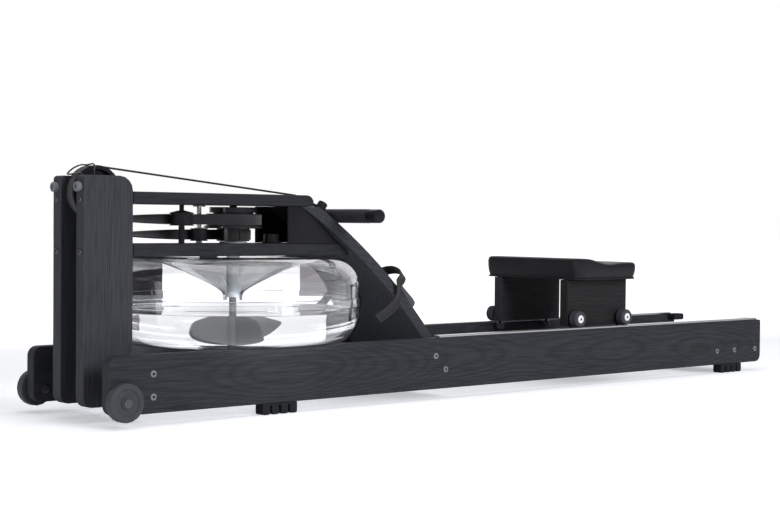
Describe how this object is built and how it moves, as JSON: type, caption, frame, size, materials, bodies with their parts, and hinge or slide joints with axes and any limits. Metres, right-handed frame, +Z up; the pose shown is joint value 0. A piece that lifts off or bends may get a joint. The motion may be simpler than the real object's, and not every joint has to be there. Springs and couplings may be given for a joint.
{
  "type": "water rowing machine",
  "caption": "Wooden rowing machine with a round clear water tank and paddle, strap drive and handle, sliding seat on twin rails, curved footboard and transport wheels.",
  "frame": {"origin": "on the floor, under the middle of the machine's length and width", "axes": "+X along the rails from the tank end to the seat end, +Y across to the far side, +Z up"},
  "size_m": [2.115, 0.562, 0.5197],
  "materials": {
    "stained_ash": "open-grain ash stained black, satin",
    "anodised_track": "clear anodised",
    "black_rubber": "matt moulded rubber",
    "grey_rubber": "grey moulded rubber",
    "black_plastic": "moulded, satin",
    "grey_plastic": "moulded, fine texture",
    "clear_shell": "clear polycarbonate, gloss",
    "steel": "bright",
    "webbing": "woven nylon",
    "pad_skin": "moulded foam skin, fine grain"
  },
  "bodies": {
    "frame": {"near_rail": "stained_ash", "far_rail": "stained_ash", "near_track": "anodised_track", "far_track": "anodised_track", "near_front_foot": "black_rubber", "far_front_foot": "black_rubber", "near_rear_foot": "black_rubber", "far_rear_foot": "black_rubber", "near_upright": "stained_ash", "far_upright": "stained_ash", "front_cross_board": "stained_ash", "near_buffer": "grey_rubber", "far_buffer": "grey_rubber", "upper_deck": "stained_ash", "lower_deck": "stained_ash", "near_side_plate": "black_plastic", "far_side_plate": "black_plastic", "footboard": "stained_ash", "rear_spreader": "stained_ash", "near_handle_peg": "black_rubber", "far_handle_peg": "black_rubber", "near_foot_strap": "webbing", "far_foot_strap": "webbing", "tank_lower_shell": "clear_shell", "tank_upper_shell": "clear_shell", "shaft_bearing": "black_plastic", "front_pulley_axle": "steel", "strap_keeper": "steel", "upper_idler_post": "black_plastic", "lower_idler_post": "steel", "speed_sensor": "black_plastic", "drive_strap": "webbing", "recoil_strap": "webbing", "near_rear_stop": "black_rubber", "far_rear_stop": "black_rubber", "near_wheel_axle": "steel", "far_wheel_axle": "steel"},
    "seat": {"seat_pad": "pad_skin", "near_seat_board": "stained_ash", "far_seat_board": "stained_ash"},
    "near_front_roller": {"near_front_roller": "black_plastic"},
    "near_rear_roller": {"near_rear_roller": "black_plastic"},
    "far_front_roller": {"far_front_roller": "black_plastic"},
    "far_rear_roller": {"far_rear_roller": "black_plastic"},
    "near_front_guide": {"near_front_guide_wheel": "black_plastic"},
    "near_rear_guide": {"near_rear_guide_wheel": "black_plastic"},
    "far_front_guide": {"far_front_guide_wheel": "black_plastic"},
    "far_rear_guide": {"far_rear_guide_wheel": "black_plastic"},
    "handle": {"handle": "stained_ash", "strap_free_run": "webbing"},
    "drum": {"clutch_drum": "black_plastic"},
    "strap_pulley": {"front_strap_pulley": "black_plastic"},
    "upper_idler": {"upper_idler": "black_plastic"},
    "lower_idler": {"lower_idler": "black_plastic"},
    "recoil_pulley": {"recoil_pulley": "black_plastic"},
    "paddle": {"paddle": "black_plastic"},
    "near_wheel": {"near_transport_wheel": "black_rubber"},
    "far_wheel": {"far_transport_wheel": "black_rubber"},
    "near_heel_rest": {"near_heel_rest": "grey_plastic"},
    "far_heel_rest": {"far_heel_rest": "grey_plastic"}
  },
  "joints": [
    {"name": "seat_slide", "type": "slide", "parent": "frame", "child": "seat", "axis": [1, 0, 0], "range_m": [-0.43, 0.515]},
    {"name": "near_front_roller_spin", "type": "hinge", "parent": "seat", "child": "near_front_roller", "pos_m": [0.30755, -0.1484, 0.1664], "axis": [0, 1, 0], "continuous": true},
    {"name": "near_rear_roller_spin", "type": "hinge", "parent": "seat", "child": "near_rear_roller", "pos_m": [0.48415, -0.1484, 0.1664], "axis": [0, 1, 0], "continuous": true},
    {"name": "far_front_roller_spin", "type": "hinge", "parent": "seat", "child": "far_front_roller", "pos_m": [0.30755, 0.1484, 0.1664], "axis": [0, 1, 0], "continuous": true},
    {"name": "far_rear_roller_spin", "type": "hinge", "parent": "seat", "child": "far_rear_roller", "pos_m": [0.48415, 0.1484, 0.1664], "axis": [0, 1, 0], "continuous": true},
    {"name": "near_front_guide_spin", "type": "hinge", "parent": "seat", "child": "near_front_guide", "pos_m": [0.30755, -0.1259, 0.1345], "axis": [0, 0, 1], "continuous": true},
    {"name": "near_rear_guide_spin", "type": "hinge", "parent": "seat", "child": "near_rear_guide", "pos_m": [0.48415, -0.1259, 0.1345], "axis": [0, 0, 1], "continuous": true},
    {"name": "far_front_guide_spin", "type": "hinge", "parent": "seat", "child": "far_front_guide", "pos_m": [0.30755, 0.1259, 0.1345], "axis": [0, 0, 1], "continuous": true},
    {"name": "far_rear_guide_spin", "type": "hinge", "parent": "seat", "child": "far_rear_guide", "pos_m": [0.48415, 0.1259, 0.1345], "axis": [0, 0, 1], "continuous": true},
    {"name": "handle_pull", "type": "slide", "parent": "frame", "child": "handle", "axis": [1, 0, 0], "range_m": [0, 1.2], "stiffness_N_per_m": 15, "springref_m": -0.3, "deforming": ["strap_free_run"]},
    {"name": "drum_spin", "type": "hinge", "parent": "frame", "child": "drum", "pos_m": [-0.64045, 0, 0.398], "axis": [0, 0, 1], "continuous": true},
    {"name": "strap_pulley_spin", "type": "hinge", "parent": "frame", "child": "strap_pulley", "pos_m": [-0.98545, 0, 0.461], "axis": [0, 1, 0], "continuous": true},
    {"name": "upper_idler_spin", "type": "hinge", "parent": "frame", "child": "upper_idler", "pos_m": [-0.78995, -0.025, 0.408], "axis": [0, 0, 1], "continuous": true},
    {"name": "lower_idler_spin", "type": "hinge", "parent": "frame", "child": "lower_idler", "pos_m": [-0.72345, 0.0089, 0.37525], "axis": [0, 0, 1], "continuous": true},
    {"name": "recoil_pulley_spin", "type": "hinge", "parent": "frame", "child": "recoil_pulley", "pos_m": [-0.96245, 0, 0.349], "axis": [0, 1, 0], "continuous": true},
    {"name": "paddle_spin", "type": "hinge", "parent": "frame", "child": "paddle", "pos_m": [-0.64045, 0, 0.2], "axis": [0, 0, 1], "continuous": true},
    {"name": "near_wheel_spin", "type": "hinge", "parent": "frame", "child": "near_wheel", "pos_m": [-1.01905, -0.1799, 0.0513], "axis": [0, 1, 0], "continuous": true},
    {"name": "far_wheel_spin", "type": "hinge", "parent": "frame", "child": "far_wheel", "pos_m": [-1.01905, 0.1799, 0.0513], "axis": [0, 1, 0], "continuous": true},
    {"name": "near_heel_rest_travel", "type": "hinge", "parent": "frame", "child": "near_heel_rest", "pos_m": [-1.01145, -0.064, -0.363], "axis": [0, 1, 0], "range_deg": [0, 3.5]},
    {"name": "far_heel_rest_travel", "type": "hinge", "parent": "frame", "child": "far_heel_rest", "pos_m": [-1.01145, 0.064, -0.363], "axis": [0, 1, 0], "range_deg": [0, 3.5]}
  ],
  "couplings": [
    {"joint": "near_front_roller_spin", "follows": "seat_slide", "rad_per_m": 50},
    {"joint": "near_rear_roller_spin", "follows": "seat_slide", "rad_per_m": 50},
    {"joint": "far_front_roller_spin", "follows": "seat_slide", "rad_per_m": 50},
    {"joint": "far_rear_roller_spin", "follows": "seat_slide", "rad_per_m": 50},
    {"joint": "near_front_guide_spin", "follows": "seat_slide", "rad_per_m": -83.33},
    {"joint": "near_rear_guide_spin", "follows": "seat_slide", "rad_per_m": -83.33},
    {"joint": "far_front_guide_spin", "follows": "seat_slide", "rad_per_m": 83.33},
    {"joint": "far_rear_guide_spin", "follows": "seat_slide", "rad_per_m": 83.33},
    {"joint": "drum_spin", "follows": "handle_pull", "rad_per_m": -16.53},
    {"joint": "strap_pulley_spin", "follows": "handle_pull", "rad_per_m": 18.69},
    {"joint": "upper_idler_spin", "follows": "handle_pull", "rad_per_m": 40},
    {"joint": "lower_idler_spin", "follows": "handle_pull", "rad_per_m": -32.62},
    {"joint": "recoil_pulley_spin", "follows": "handle_pull", "rad_per_m": 23.39}
  ]
}
